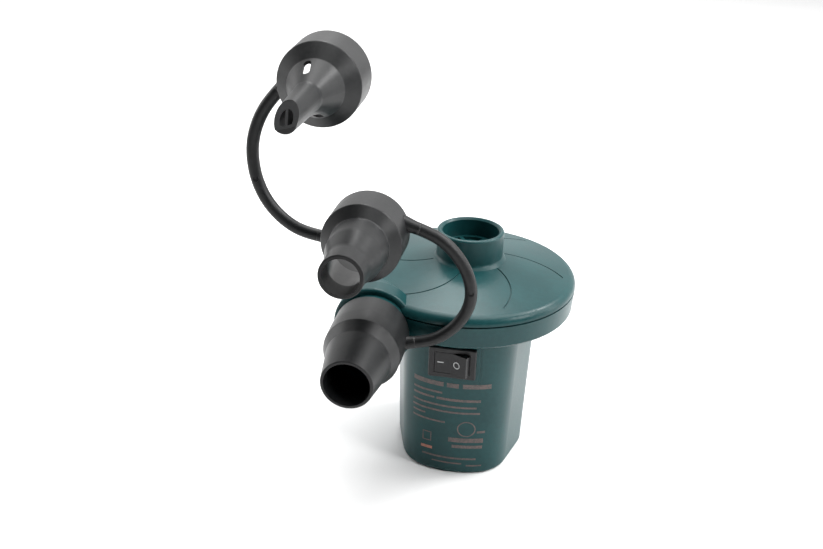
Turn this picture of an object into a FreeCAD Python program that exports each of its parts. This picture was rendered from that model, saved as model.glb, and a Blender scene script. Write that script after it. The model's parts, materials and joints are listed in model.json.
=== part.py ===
import FreeCAD, Part
import math
import os

# Small electric air pump: a round fan housing on a six-sided motor body, a deflate port on top,
# an inflate outlet at the front left, and three push-on nozzles joined by two moulded tethers.
# Millimetres. Origin: centre of the flat base, under the fan axis. +Z up, the switch faces -Y.

V = FreeCAD.Vector
UP = V(0, 0, 1)

# ---- motor body ----
wall = 2.2                 # moulded wall of body, cover and duct
front_half = 20.3          # half width of the front, were it flat from corner to corner
front_y = 31.2             # middle of the bowed front face, in front of the axis
front_bow = 42.0           # radius of the front face
front_lean = 0.25          # each half of the front falls back this much for every unit sideways
front_corner_round = 18.0
side_half = 30.8           # half width at the two side corners
side_y = 4.0               # side corners, behind the axis
back_half = 20.3
back_y = 33.0
corner_round = 13.4        # side and back corners
draft = 2.0                # the body is this much wider all round at its top
body_top = 77.15           # underside of the fan housing
foot_round = 1.5           # how far the base edge is rounded in
# ---- fan housing ----
disc_x = -1.5              # the volute sits a little left of the fan axis
disc_r = 50.0
disc_taper = 0.6           # the ring is this much smaller at its lower edge
disc_foot_round = 1.0
ring_height = 9.85         # from the underside up to the seam
seam_gap = 0.7             # gasket thickness
gasket_inset = 1.2
rim_rise = 4.17            # the cover's cone would meet its rim this far above the seam
cover_slope = 0.186
rim_round = 4.0
# ---- deflate port, grille and outlet duct ----
port_r = 14.96             # outside of the deflate port and of the outlet spigot
port_wall = 2.3
port_height = 13.0
port_foot = 1.6            # flare at the foot of the port
groove_width = 0.6         # curved grooves in the cover
groove_depth = 0.45
groove_count = 6
groove_r = 25.95           # radius of each curved groove
groove_centre = (28.4, -39.2)   # its centre: distance from the fan axis, and angle
groove_start = 16.8        # the grooves run from here out to groove_end, from the fan axis
groove_end = 42.6
grille_depth = 10.6
grille_ledge = 1.2
grille_thick = 2.2
grille_bar = 1.6
duct_lip = 2.64            # the duct's end ring stands this much outside the spigot
duct_drop = 6.83           # duct axis below the seam
duct_lip_length = 9.0
duct_setback = 5.6         # duct end behind the front of the disc
duct_throat_r = 5.0
spigot_reach = 18.1        # spigot tip in front of the duct end
spigot_hold = 4.2          # length held between the two halves
# ---- fan and motor ----
plate_thick = 2.5
fan_r = 38.0
fan_gap = 1.0              # blades to cover
blade_count = 8
blade_thick = 1.3
shaft_r = 1.55
bushing_r = 3.0
running_gap = 0.05
motor_r = 17.9
motor_length = 51.0
can_wall = 1.2
boss_r = 5.0
core_r = 12.8
core_length = 26.0
magnet_gap = 0.6
pole_count = 5
commutator_r = 4.5
sleeve_thick = 2.0
cradle_angles = (45, 135, 225, 315)
# ---- switch ----
switch_x = -1.1
switch_z = 60.7
bezel_w = 21.0
bezel_h = 15.0
bezel_thick = 1.5
bezel_pad = 1.8            # the flat pad behind the bezel is this much larger all round
switch_depth = 11.0
switch_tab = 3.2
tab_spread = 4.5
rocker_w = 15.8            # opening in the bezel
rocker_h = 10.4
rocker_tilt = 12.0         # each way from level, degrees
rocker_pivot_depth = 1.5
pivot_r = 1.2
# ---- nozzles ----
skirt_wall = 1.05
skirt_gap = 0.05           # sliding fit of a skirt on a spigot
skirt_depth = 16.0
skirt_stop = 3.3           # gap left between the large nozzle and the duct end
nozzle_wall = 1.2
drawn_for = V(-34.1, -44.4, 80.17)      # end of the duct that these places and routes are drawn for
medium_at = V(-34.63, -50.73, 127.51)
valve_at = V(-51.55, -46.72, 187.01)
large_axis = V(0, -1, 0)
medium_axis = V(0.020, -0.998, 0.052)
valve_axis = V(0.023, -0.999, -0.024)
large_length = 43.8
large_mouth_r = 10.4
medium_length = 50.9
medium_mouth_r = 8.3
medium_mouth_wall = 1.45
valve_length = 61.2
valve_tip_r = 4.2
bevel_length = 9.5         # the valve tip is cut away slantwise over this length
bevel_lip = 2.0            # thickness left at its end
bevel_turn = 18            # the bevel faces this far to the left of straight up, degrees
tip_bore = 2.4
tip_web = 0.9              # web between the two openings of the tip
vent_width = 2.8
vent_length = 6.5
vent_at = 25.5             # middle of the vents, from the rear of the nozzle
vent_turn = 14             # the upper vent leans this far to the left, degrees
# ---- tethers ----
tether_r = 2.5
flex_gap = 2.8             # the two halves of a tether stay this far apart at the flex point
stub_r = 3.3
stub_length = 6.0
lower_tether = [V(-15.8, -53.5, 131.1), V(-9.0, -53.5, 129.1), V(-1.9, -53.5, 124.3),
                V(4.0, -53.5, 116.7), V(7.3, -53.5, 108.0), V(6.9, -53.5, 99.4),
                V(2.7, -53.5, 91.0), V(-3.8, -53.5, 84.6), V(-9.6, -53.5, 81.6),
                V(-15.9, -53.5, 80.2)]
upper_tether = [V(-53.4, -53.7, 123.7), V(-60.6, -53.5, 124.5), V(-68.4, -53.2, 128.2),
                V(-75.3, -52.8, 134.8), V(-79.7, -52.4, 143.2), V(-81.5, -52.0, 152.0),
                V(-81.3, -51.5, 160.5), V(-78.6, -50.9, 169.0), V(-74.2, -50.4, 176.2),
                V(-69.3, -49.9, 181.5)]
flex_run = 4               # each tether flexes at the middle of the run that follows this point
# ---- screws, board and leads ----
screw_r = 1.25
screw_head_r = 2.6
screw_head = 1.5
plate_screw_head = 1.2
post_r = 3.4
hole_gap = 0.1
cover_screw_inset = 5.0    # screw circle inside the disc's edge
cover_screw_angles = (15, 75, 135, 315)
plate_screw_inset = 8.8
plate_screw_angles = (45, 105, 165, 345)
motor_screw_r = 12.5
base_screw_inset = (4.9, 10.4)
base_thick = 2.4
base_gap = 0.15
base_post_top = 22.0
board_inset = 9.0          # board in front of the back face
board_thick = 1.6
board_half = 13.0
board_low = 32.0
board_high = 62.0
inlet_z = 17.0
inlet_half = 9.0
inlet_height = 11.0
inlet_depth = 13.0
inlet_flange = 1.2
pin_spread = 4.3
pin_r = 1.2
lead_r = 0.9

# ---- sizes that follow ----
chamber_floor = body_top + wall
fan_plate_top = chamber_floor + plate_thick
seam_z = body_top + ring_height
cover_z = seam_z + seam_gap
cover_rim_z = seam_z + rim_rise
cover_apex = cover_rim_z + disc_r * cover_slope
port_rise = cover_apex - port_r * cover_slope
port_top = port_rise + port_height
port_bore = port_r - port_wall
grille_z = port_top - grille_depth
duct_ring_r = port_r + duct_lip
duct_x = disc_x - disc_r + duct_ring_r - 0.2
duct_z = seam_z - duct_drop
duct_front = duct_setback - disc_r
duct_tail = V(disc_x - disc_r + 12, -14, seam_z - 5.5)
duct_tail_r = duct_ring_r / 2
spigot_tip = duct_front - spigot_reach
plate_r = disc_r - wall - disc_taper - 0.5
cover_screw_r = disc_r - cover_screw_inset
plate_screw_r = disc_r - plate_screw_inset
blade_top = cover_apex - wall - fan_r * cover_slope - fan_gap
motor_top = chamber_floor - 0.05
motor_low = motor_top - motor_length
core_mid = motor_low + 29.0
sleeve_r = motor_r + sleeve_thick
switch_face = -(front_y + draft * (switch_z + bezel_h / 2) / body_top)
switch_back = switch_face + switch_depth
inlet_face = back_y + draft * (inlet_z + inlet_height / 2 + 1) / body_top
board_y = back_y - board_inset
skirt_r = port_r + skirt_gap + skirt_wall
large_at = V(duct_x, duct_front - skirt_stop, duct_z)
duct_moved = V(duct_x, duct_front, duct_z) - drawn_for
medium_at = medium_at + duct_moved
valve_at = valve_at + duct_moved
lower_tether = [point + duct_moved for point in lower_tether]
upper_tether = [point + duct_moved for point in upper_tether]
base_screws_at = [(x * (front_half - base_screw_inset[0]), y)
                  for y in (base_screw_inset[1] - front_y, back_y - base_screw_inset[1]) for x in (1, -1)]

nodes = {}


def block(x0, x1, y0, y1, z0, z1):
    return Part.makeBox(x1 - x0, y1 - y0, z1 - z0, V(x0, y0, z0))


def rod(radius, z0, z1, x=0, y=0):
    return Part.makeCylinder(radius, z1 - z0, V(x, y, z0), UP)


def ring(outer, inner, z0, z1, x=0, y=0):
    return rod(outer, z0, z1, x, y).cut(rod(inner, z0 - 1, z1 + 1, x, y))


def around(radius, angle, x=0):
    turn = math.radians(angle)
    return x + radius * math.cos(turn), radius * math.sin(turn)


def spun(shape, angle, x=0, y=0):
    copy = shape.copy()
    copy.rotate(V(x, y, 0), UP, angle)
    return copy


def unit(vector):
    return vector * (1.0 / vector.Length)


def half_turn(points, i):
    back = points[i - 1] - points[i]
    ahead = points[(i + 1) % len(points)] - points[i]
    return (math.pi - back.getAngle(ahead)) / 2


def rounded_wire(points, radii, closed=True):
    """Straight runs joined by tangent arcs; a radius of 0 leaves a sharp corner."""
    corners = []
    for i, point in enumerate(points):
        if not radii[i]:
            corners.append((point, None, point))
            continue
        back = unit(points[i - 1] - point)
        ahead = unit(points[(i + 1) % len(points)] - point)
        half = half_turn(points, i)
        reach = radii[i] * math.tan(half)
        middle = point + unit(back + ahead) * (radii[i] / math.cos(half) - radii[i])
        corners.append((point + back * reach, middle, point + ahead * reach))
    edges = []
    for i, (start, middle, end) in enumerate(corners):
        if middle:
            edges.append(Part.Arc(start, middle, end).toShape())
        if closed or i < len(corners) - 1:
            edges.append(Part.LineSegment(end, corners[(i + 1) % len(corners)][0]).toShape())
    return Part.Wire(edges)


def turned(profile, x=0, y=0):
    """A solid of revolution about +Z; the profile lists (radius, height, corner rounding)."""
    points = [V(x + r, y, z) for r, z, rounding in profile]
    wire = rounded_wire(points, [rounding for r, z, rounding in profile])
    return Part.Face(wire).revolve(V(x, y, 0), UP, 360)


def bend_radii(points):
    """Each bend of a route as wide as its two runs allow."""
    radii = [0]
    for i in range(1, len(points) - 1):
        run = min((points[i] - points[i - 1]).Length, (points[i + 1] - points[i]).Length)
        radii.append(0.45 * run / math.tan(half_turn(points, i)))
    return radii + [0]


def tube_along(points, radius):
    route = rounded_wire(points, bend_radii(points), closed=False)
    section = Part.Wire(Part.makeCircle(radius, points[0], points[1] - points[0]))
    return route.makePipeShell([section], True, False), route.Length


# ---------------------------------------------------------------- outer shapes
def body_outline(z, inset):
    nose = front_y + front_bow * (math.hypot(1, front_lean) - 1)
    side_lean = (side_half - front_half) / (side_y + front_y)
    front_x = (front_half + side_lean * (front_y - nose)) / (1 - side_lean * front_lean)
    corners = [(front_x, front_lean * front_x - nose), (side_half, side_y), (back_half, back_y)]
    corners += [(-x, y) for x, y in reversed(corners)]
    corners.append((0, -nose))
    radii = [front_corner_round] + [corner_round] * 4 + [front_corner_round, front_bow]
    wire = rounded_wire([V(x, y, z) for x, y in corners], radii)
    grow = draft * z / body_top - inset
    return wire.makeOffset2D(grow)


def body_solid(inset, z0, z1, foot=0):
    levels = [(z0, inset)]
    if foot:
        levels = [(z0 + foot * (1 - math.cos(a)), inset + foot * (1 - math.sin(a)))
                  for a in (0, math.pi / 6, math.pi / 3, math.pi / 2)]
    levels.append((z1, inset))
    return Part.makeLoft([body_outline(z, i) for z, i in levels], True, True)


def fan_envelope(inset=0):
    rim = disc_r - inset
    disc = turned([(0, body_top, 0), (rim - disc_taper, body_top, disc_foot_round), (rim, seam_z, 0),
                   (rim, cover_rim_z + inset * cover_slope, rim_round),
                   (0, cover_apex, 0)], disc_x)
    mouth = V(duct_x, duct_front + 6.4, duct_z)
    axis = duct_tail - mouth
    horn = Part.makeCone(duct_ring_r - 0.4 - inset, duct_tail_r - inset, axis.Length, mouth, axis)
    lip = Part.makeCylinder(duct_ring_r - inset, duct_lip_length, V(duct_x, duct_front, duct_z), V(0, 1, 0))
    if not inset:
        lip = lip.makeFillet(1.3, lip.Edges)
    return disc.fuse([horn, lip]).removeSplitter()


def air_passage(grow=0):
    top = cover_apex - wall
    bore = disc_r - wall
    chamber = turned([(0, chamber_floor - grow, 0), (bore - disc_taper + grow, chamber_floor - grow, 0),
                      (bore + grow, top - bore * cover_slope + grow, wall),
                      (0, top + grow, 0)], disc_x)
    start = V(duct_x, duct_front + spigot_hold - 3, duct_z)
    end = duct_tail + V(0.5, 2, 2.5)
    horn = Part.makeCone(port_bore + grow, duct_throat_r + grow, (end - start).Length, start, end - start)
    return chamber, horn


def spigot_seat():
    """Bore and groove that hold the outlet spigot between the two halves."""
    start = V(duct_x, duct_front - 15, duct_z)
    length = 15 + spigot_hold + 0.2
    bore = Part.makeCylinder(port_r + hole_gap, length, start, V(0, 1, 0))
    groove = Part.makeCylinder(port_r + 1.0, 2.2, start + V(0, length - 2.2, 0), V(0, 1, 0))
    return bore.fuse(groove)


# ---------------------------------------------------------------- housing
def cover_screw_places():
    return [around(cover_screw_r, angle, disc_x) for angle in cover_screw_angles]


def switch_opening(grow=0):
    half_w, half_h = bezel_w / 2 - 1.1 + grow, bezel_h / 2 - 1.1 + grow
    return block(switch_x - half_w, switch_x + half_w, switch_face - 1, switch_face + 14,
                 switch_z - half_h, switch_z + half_h)


def switch_pad():
    """Flat pad on the bowed front, behind the bezel."""
    half_w, half_h = bezel_w / 2 + bezel_pad, bezel_h / 2 + bezel_pad
    return block(switch_x - half_w, switch_x + half_w, switch_face, -front_y + 3,
                 switch_z - half_h, switch_z + half_h).common(body_solid(-1, 0, body_top))


def main_housing():
    lower_half = block(-90, 90, -90, 90, body_top - 20, seam_z)
    shell = body_solid(0, 0, chamber_floor, foot_round).fuse(fan_envelope().common(lower_half))
    pad = switch_pad()
    inlet_pad = block(-inlet_half - 1, inlet_half + 1, back_y - 1, inlet_face,
                      inlet_z - inlet_height / 2 - 1, inlet_z + inlet_height / 2 + 1)
    shell = shell.fuse([pad, inlet_pad])
    chamber, horn = air_passage()
    keep = air_passage(wall)[1]
    hollow = body_solid(wall, -1, chamber_floor).cut(keep)
    shell = shell.cut(hollow).cut([chamber, horn, spigot_seat()])
    posts = [rod(post_r, chamber_floor - 1, seam_z, x, y) for x, y in cover_screw_places()]
    posts += [rod(post_r, base_thick + base_gap, base_post_top, x, y) for x, y in base_screws_at]
    shell = shell.fuse(posts + base_gussets() + board_rails())
    holes = [rod(screw_r + hole_gap, 0, seam_z + 1, x, y) for x, y in cover_screw_places()]
    holes += [rod(screw_head_r + hole_gap, body_top - 1, chamber_floor + 0.4, x, y)
              for x, y in cover_screw_places()]
    holes += [rod(screw_r + hole_gap, 0, 16, x, y) for x, y in base_screws_at]
    holes += [rod(screw_r + hole_gap, body_top - 1, chamber_floor + 1, x, y)
              for x, y in (around(plate_screw_r, angle) for angle in plate_screw_angles)]
    return shell.cut(holes + vent_slots() + [switch_opening(), inlet_opening()])


def base_gussets():
    """Webs that tie the base screw posts to the front and back walls."""
    skin = body_solid(wall / 2, base_thick + base_gap, base_post_top)
    webs = []
    for x, y in base_screws_at:
        low, high = sorted((y, 2 * y))
        webs.append(block(x - 1, x + 1, low, high, base_thick + base_gap, base_post_top).common(skin))
    return webs


def inlet_opening(gap=0.1):
    return block(-inlet_half - gap, inlet_half + gap, inlet_face - inlet_depth, inlet_face + 1,
                 inlet_z - inlet_height / 2 - gap, inlet_z + inlet_height / 2 + gap)


def board_rails():
    rails = []
    for side in (-1, 1):
        near, far = sorted((side * (board_half - 1.5), side * (board_half + 2)))
        rails.append(block(near, far, board_y - 1.5, back_y, board_low - 2, board_high)
                     .cut(circuit_board_blank(hole_gap)))
    return rails


def circuit_board_blank(grow=0):
    return block(-board_half - grow, board_half + grow, board_y - grow, board_y + board_thick + grow,
                 board_low - grow, board_high + grow + 1)


def vent_slots():
    return [block(-8, 8, back_y - 5, back_y + 5, z - 1, z + 1) for z in range(36, 61, 6)]


def volute_cover():
    upper_half = block(-90, 90, -90, 90, cover_z, port_top + 5)
    shell = fan_envelope().common(upper_half)
    flare = port_r + port_foot
    collar = turned([(0, port_rise - 6, 0), (flare, port_rise - 6, 0), (flare, port_rise - 0.6, 0),
                     (port_r, port_rise - 0.6 + port_foot, 1.2),
                     (port_r, port_top, 0.9), (0, port_top, 0)])
    chamber, horn = air_passage()
    shell = shell.fuse(collar)
    bosses = [rod(post_r, cover_z, cover_rim_z, x, y) for x, y in cover_screw_places()]
    throat = rod(port_bore - grille_ledge, port_rise - 8, grille_z + 1)
    bore = turned([(0, grille_z, 0), (port_bore, grille_z, 0), (port_bore, port_top - 0.8, 0),
                   (port_bore + 0.8, port_top, 0), (port_bore + 0.8, port_top + 1, 0),
                   (0, port_top + 1, 0)])
    shell = shell.cut([chamber, horn, spigot_seat()]).fuse(bosses)
    screw_holes = [rod(screw_r + hole_gap, cover_z - 1, cover_rim_z - 1.6, x, y)
                   for x, y in cover_screw_places()]
    drain = rod(1.3, duct_z, duct_z + 25, duct_x + 2, duct_front + 10)
    return shell.cut([throat, bore, drain] + screw_holes + swirl_grooves())


def swirl_grooves():
    """Thin curved grooves in the cone of the cover, spread evenly round the port."""
    low, high = cover_rim_z - groove_depth, cover_apex + 1
    skin = turned([(0, cover_apex - groove_depth, 0), (disc_r, low, 0),
                   (disc_r, high, 0), (0, high, 0)], disc_x)
    span = ring(groove_end, groove_start, low, high)
    x, y = around(*groove_centre)
    groove = ring(groove_r + groove_width / 2, groove_r - groove_width / 2, low, high, x, y)
    half = block(-groove_end, 0, -groove_end, groove_end, low, high)
    outer = groove.common(span).cut(spun(half, groove_centre[1] + 90))
    return [spun(outer, i * 360.0 / groove_count).common(skin) for i in range(groove_count)]


def seam_gasket():
    slab = block(-90, 90, -90, 90, seam_z, cover_z)
    chamber, horn = air_passage()
    frame = fan_envelope(gasket_inset).common(slab).cut([chamber, horn, spigot_seat()])
    holes = [rod(post_r, seam_z - 1, cover_z + 1, x, y) for x, y in cover_screw_places()]
    return frame.cut(holes)


def inlet_grille():
    top = grille_z + grille_thick
    rim = ring(port_bore - hole_gap, port_bore - 1.9, grille_z, top)
    middle = ring(7.2, 5.8, grille_z, top)
    reach = port_bore - 1.5
    bars = [spun(block(-reach, reach, -grille_bar / 2, grille_bar / 2, grille_z, top), angle)
            for angle in (0, 60, 120)]
    return rim.fuse([middle] + bars)


def outlet_spigot():
    axis = V(0, 1, 0)
    tube = Part.makeCylinder(port_r, spigot_reach + spigot_hold, V(duct_x, spigot_tip, duct_z), axis)
    flange = Part.makeCylinder(port_r + 0.9, 2.0, V(duct_x, duct_front + spigot_hold - 2.0, duct_z), axis)
    bore = Part.makeCylinder(port_bore, 40, V(duct_x, spigot_tip - 1, duct_z), axis)
    return tube.fuse(flange).cut(bore)


# ---------------------------------------------------------------- base
def base_cover():
    plate = body_solid(wall + base_gap, 0, base_thick)
    inner = sleeve_r + 0.1
    ribs = [spun(block(inner, inner + 3, -1.2, 1.2, 1, motor_low + 12), angle)
            for angle in cradle_angles]
    seats = [spun(block(motor_r - 3, inner + 1, -1.2, 1.2, 1, motor_low - 0.1), angle)
             for angle in cradle_angles]
    heads = [rod(screw_head_r + hole_gap, -1, screw_head + 0.1, x, y) for x, y in base_screws_at]
    shanks = [rod(screw_r + hole_gap, 0, 5, x, y) for x, y in base_screws_at]
    room = [rod(post_r + hole_gap, base_thick, base_post_top, x, y) for x, y in base_screws_at]
    return plate.fuse(ribs + seats).cut(heads + shanks + room)


def screws(places, head_low, head_up, tip):
    """Round-headed screws standing along +Z, or along -Z when the tip is below the head."""
    solids = []
    for x, y in places:
        head = rod(screw_head_r, head_low, head_up, x, y)
        low, high = sorted(((head_low + head_up) / 2, tip))
        slot = block(x - 2, x + 2, y - 0.35, y + 0.35, head_low - 0.01, head_low + 0.6)
        if tip < head_low:
            slot = block(x - 2, x + 2, y - 0.35, y + 0.35, head_up - 0.6, head_up + 0.01)
        solids.append(head.fuse(rod(screw_r, low, high, x, y)).cut(slot))
    return Part.makeCompound(solids)


# ---------------------------------------------------------------- fan and motor
def motor_plate():
    plate = rod(plate_r, chamber_floor, fan_plate_top, disc_x)
    cuts = [rod(post_r + 0.3, chamber_floor - 1, fan_plate_top + 1, x, y)
            for x, y in cover_screw_places()]
    cuts += [rod(screw_r + hole_gap, chamber_floor - 1, fan_plate_top + 1, x, y)
             for x, y in plate_screw_places() + motor_screw_places()]
    cuts.append(rod(boss_r + 0.2, chamber_floor - 1, fan_plate_top + 1))
    cuts += [rod(screw_head_r + hole_gap, fan_plate_top - plate_screw_head, fan_plate_top + 1, x, y)
             for x, y in plate_screw_places() + motor_screw_places()]
    return plate.cut(cuts + [air_passage()[1], spigot_seat()])


def plate_screw_places():
    return [around(plate_screw_r, angle) for angle in plate_screw_angles]


def motor_screw_places():
    return [around(motor_screw_r, angle) for angle in (0, 180)]


def motor_can():
    can = ring(motor_r, motor_r - can_wall, motor_low + 4, motor_top)
    lid = rod(motor_r - 0.5, motor_top - 1.5, motor_top)
    boss = rod(boss_r, motor_top - 1.5, fan_plate_top - 0.4)
    can = can.fuse([lid, boss])
    holes = [rod(screw_r + 0.02, motor_top - 2, motor_top + 1, x, y) for x, y in motor_screw_places()]
    return can.cut(holes + [rod(bushing_r + 0.02, motor_top - 3, fan_plate_top + 1)])


def motor_end_cap():
    cap = rod(motor_r, motor_low, motor_low + 3.9)
    plug = ring(motor_r - can_wall - 0.05, motor_r - 4, motor_low + 3, motor_low + 8)
    pocket = rod(bushing_r + 0.02, motor_low + 1, motor_low + 5)
    slots = [block(x - 1.9, x + 1.9, -1.1, 1.1, motor_low - 1, motor_low + 4.5) for x in (-11, 11)]
    return cap.fuse(plug).cut([pocket] + slots)


def field_magnets():
    outer = motor_r - can_wall - 0.05
    tube = ring(outer, core_r + magnet_gap, core_mid - core_length / 2 - 3, core_mid + core_length / 2 + 3)
    gaps = [block(-30, 30, -4, 4, 0, 120)]
    return tube.cut(gaps)


def armature_core():
    core = ring(core_r, shaft_r, core_mid - core_length / 2, core_mid + core_length / 2)
    return core.cut([winding_slot(i, 0) for i in range(pole_count)])


def winding_slot(i, gap):
    low, high = core_mid - core_length / 2 - 1, core_mid + core_length / 2 + 1
    pocket = block(5.0 + gap, 10.6 - gap, -2.6 + gap, 2.6 - gap, low, high)
    mouth = block(10.4, core_r + 1, -0.8, 0.8, low, high)
    slot = pocket if gap else pocket.fuse(mouth)
    return spun(slot, i * 360.0 / pole_count)


def armature_windings():
    half = core_length / 2
    bars = [winding_slot(i, 0.15) for i in range(pole_count)]
    ends = [ring(10.4, 5.2, core_mid + half + 0.1, core_mid + half + 4.2),
            ring(10.4, 5.2, core_mid - half - 4.2, core_mid - half - 0.1)]
    return bars[0].fuse(bars[1:] + ends)


def commutator():
    low = motor_low + 6.0
    body = ring(commutator_r, shaft_r, low, core_mid - core_length / 2 - 4.4)
    cuts = [spun(block(3.4, commutator_r + 1, -0.3, 0.3, low - 1, low + 4.6), i * 360.0 / pole_count)
            for i in range(pole_count)]
    return body.cut(cuts)


def carbon_brushes():
    inner = commutator_r + 0.1
    pair = [block(side * inner if side > 0 else -inner - 5, inner + 5 if side > 0 else -inner,
                  -1.6, 1.6, motor_low + 6.8, motor_low + 10.4) for side in (1, -1)]
    return Part.makeCompound(pair)


def brush_arms():
    arms = []
    for side in (1, -1):
        x0, x1 = sorted((side * (commutator_r + 5.1), side * (commutator_r + 5.8)))
        arms.append(block(x0, x1, -1.6, 1.6, motor_low + 4.0, motor_low + 10.4))
    return Part.makeCompound(arms)


def motor_terminals():
    return Part.makeCompound([block(x - 1.6, x + 1.6, -0.4, 0.4, motor_low - 6, motor_low + 3.9)
                              for x in (-11, 11)])


def impeller():
    back = fan_plate_top + 1.7
    hub = ring(5.2, shaft_r, back - 0.6, blade_top)
    plate = ring(fan_r, shaft_r + 1, back, back + 1.2)
    return hub.fuse([plate] + [spun(fan_blade(back + 0.6), i * 360.0 / blade_count)
                               for i in range(blade_count)])


def fan_blade(low):
    """One backward-curved blade: a slice of a tube whose axis stands beside the shaft."""
    curve_r = fan_r * 0.62
    x, y = fan_r * 0.42, fan_r * 0.5
    arc = ring(curve_r + blade_thick / 2, curve_r - blade_thick / 2, low, blade_top, x, y)
    keep = ring(fan_r - 0.4, 7.0, low, blade_top)
    sector = block(0, fan_r + 5, -fan_r, 3.0, low, blade_top)
    return arc.common(keep).common(sector)


def impeller_nut():
    nut = rod(3.4, blade_top + 0.02, blade_top + 3.2)
    flats = [spun(block(2.9, 6, -6, 6, 0, 120), i * 60) for i in range(6)]
    return nut.cut([rod(shaft_r, 0, 120)] + flats)


# ---------------------------------------------------------------- switch
def switch_frame():
    bezel = block(switch_x - bezel_w / 2, switch_x + bezel_w / 2, switch_face - bezel_thick, switch_face,
                  switch_z - bezel_h / 2, switch_z + bezel_h / 2)
    front_edges = [e for e in bezel.Edges
                   if abs(e.BoundBox.YMax - bezel.BoundBox.YMin) < 0.01 or e.BoundBox.YLength > 1]
    bezel = bezel.makeFillet(0.7, front_edges)
    body = switch_opening(-0.1).common(block(-60, 60, switch_face - 0.5, switch_back, 0, 120))
    pocket = block(switch_x - rocker_w / 2, switch_x + rocker_w / 2, switch_face - 5, switch_back - 1.6,
                   switch_z - rocker_h / 2, switch_z + rocker_h / 2)
    pivot = Part.makeCylinder(pivot_r + running_gap, rocker_h + 1.8,
                              V(switch_x, rocker_axis_y(), switch_z - rocker_h / 2 - 0.9), UP)
    slots = [block(switch_x + x - 2.45, switch_x + x + 2.45, switch_back - 3, switch_back + 1,
                   switch_z - 0.5, switch_z + 0.5) for x in (-tab_spread, tab_spread)]
    return bezel.fuse(body).cut([pocket, pivot] + slots)


def rocker_axis_y():
    return switch_face - bezel_thick + rocker_pivot_depth


def switch_rocker():
    """V-faced rocker, level about its pivot, then tipped so that its left half lies flush."""
    half = rocker_w / 2 - 0.1
    height = rocker_h - 0.4
    rise = half * math.tan(math.radians(rocker_tilt))
    axis_y = rocker_axis_y()
    face = axis_y - rocker_pivot_depth
    low = switch_z - height / 2
    outline = [V(-half, face - rise, low), V(0, face, low), V(half, face - rise, low),
               V(half, axis_y + 2.5, low), V(-half, axis_y + 2.5, low)]
    body = Part.Face(Part.makePolygon(outline + outline[:1])).extrude(V(0, 0, height))
    body = body.common(Part.makeCylinder(half, height, V(0, axis_y, low), UP))
    pins = Part.makeCylinder(pivot_r, height + 1.8, V(0, axis_y, low - 0.9), UP)
    keel = block(-1.6, 1.6, axis_y + 2, axis_y + 5.2, switch_z - 3, switch_z + 3)
    rocker = body.fuse([pins, keel]).cut(contact_bore())
    return tipped(rocker)


def contact_bore(radius=1.1):
    return Part.makeCylinder(radius, 4.2, V(0, rocker_axis_y() + 1.5, switch_z), V(0, 1, 0))


def tipped(shape):
    shape.translate(V(switch_x, 0, 0))
    shape.rotate(V(switch_x, rocker_axis_y(), 0), UP, -rocker_tilt)
    return shape


def rocker_plunger():
    pin = Part.makeCylinder(1.0, 4.0, V(0, rocker_axis_y() + 1.6, switch_z), V(0, 1, 0))
    return tipped(pin)


def switch_terminals():
    tabs = [block(switch_x + x - 2.4, switch_x + x + 2.4, switch_back - 1.5, switch_back + switch_tab,
                  switch_z - 0.4, switch_z + 0.4) for x in (-tab_spread, tab_spread)]
    return Part.makeCompound(tabs)


# ---------------------------------------------------------------- power inlet, board and leads
def power_inlet():
    low, high = inlet_z - inlet_height / 2, inlet_z + inlet_height / 2
    body = block(-inlet_half, inlet_half, inlet_face - inlet_depth + 0.1, inlet_face, low, high)
    flange = block(-inlet_half - 1, inlet_half + 1, inlet_face, inlet_face + inlet_flange, low - 1, high + 1)
    recess_r = inlet_height / 2 - 1.9
    start = inlet_face - inlet_depth + 3
    circles = [Part.makeCylinder(recess_r, 20, V(x, start, inlet_z), V(0, 1, 0))
               for x in (-pin_spread, pin_spread)]
    bridge = block(-pin_spread, pin_spread, start, start + 20, inlet_z - recess_r, inlet_z + recess_r)
    pins = [Part.makeCylinder(pin_r + 0.05, 20, V(x, inlet_face - inlet_depth - 1, inlet_z), V(0, 1, 0))
            for x in (-pin_spread, pin_spread)]
    return body.fuse(flange).cut(circles + [bridge] + pins)


def inlet_pins():
    start = inlet_face - inlet_depth - 2.5
    return Part.makeCompound([Part.makeCylinder(pin_r, inlet_depth + 0.5, V(x, start, inlet_z), V(0, 1, 0))
                              for x in (-pin_spread, pin_spread)])


def circuit_board():
    return block(-board_half, board_half, board_y, board_y + board_thick, board_low, board_high)


def bridge_rectifier():
    back = board_y + board_thick
    return block(-10, -2, back, back + 3.6, board_low + 4, board_low + 14)


def capacitor():
    return rod(2.4, board_low + 4, board_low + 16, 5, board_y + board_thick + 2.45)


def beside_motor(side):
    """Where a lead passes the motor, midway between the sleeve and the body wall."""
    return side * (sleeve_r + side_half - wall) / 2


def mains_leads():
    """Live: left inlet pin to the left switch tab. Neutral: right inlet pin to the board."""
    start = inlet_face - inlet_depth - 2.6
    tab_x = switch_x - tab_spread - 2.5
    tab_y = switch_back + switch_tab - 1.4
    x = beside_motor(-1)
    live = [V(-pin_spread, start, inlet_z), V(-pin_spread, start - 4, inlet_z), V(-7, 8, 11),
            V(x, 1, 11), V(x, 2, 20), V(x, 2, 52), V(-20, -15.5, switch_z),
            V(tab_x - 3, tab_y, switch_z), V(tab_x, tab_y, switch_z)]
    foot_y = board_y - 2.1
    neutral = [V(pin_spread, start, inlet_z), V(pin_spread, start - 3, inlet_z),
               V(pin_spread, start - 3, inlet_z + 7), V(2, foot_y, board_low - 2),
               V(2, foot_y, board_low + 3), V(2, board_y - 0.05, board_low + 3)]
    return Part.makeCompound([tube_along(live, lead_r)[0], tube_along(neutral, lead_r)[0]])


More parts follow.
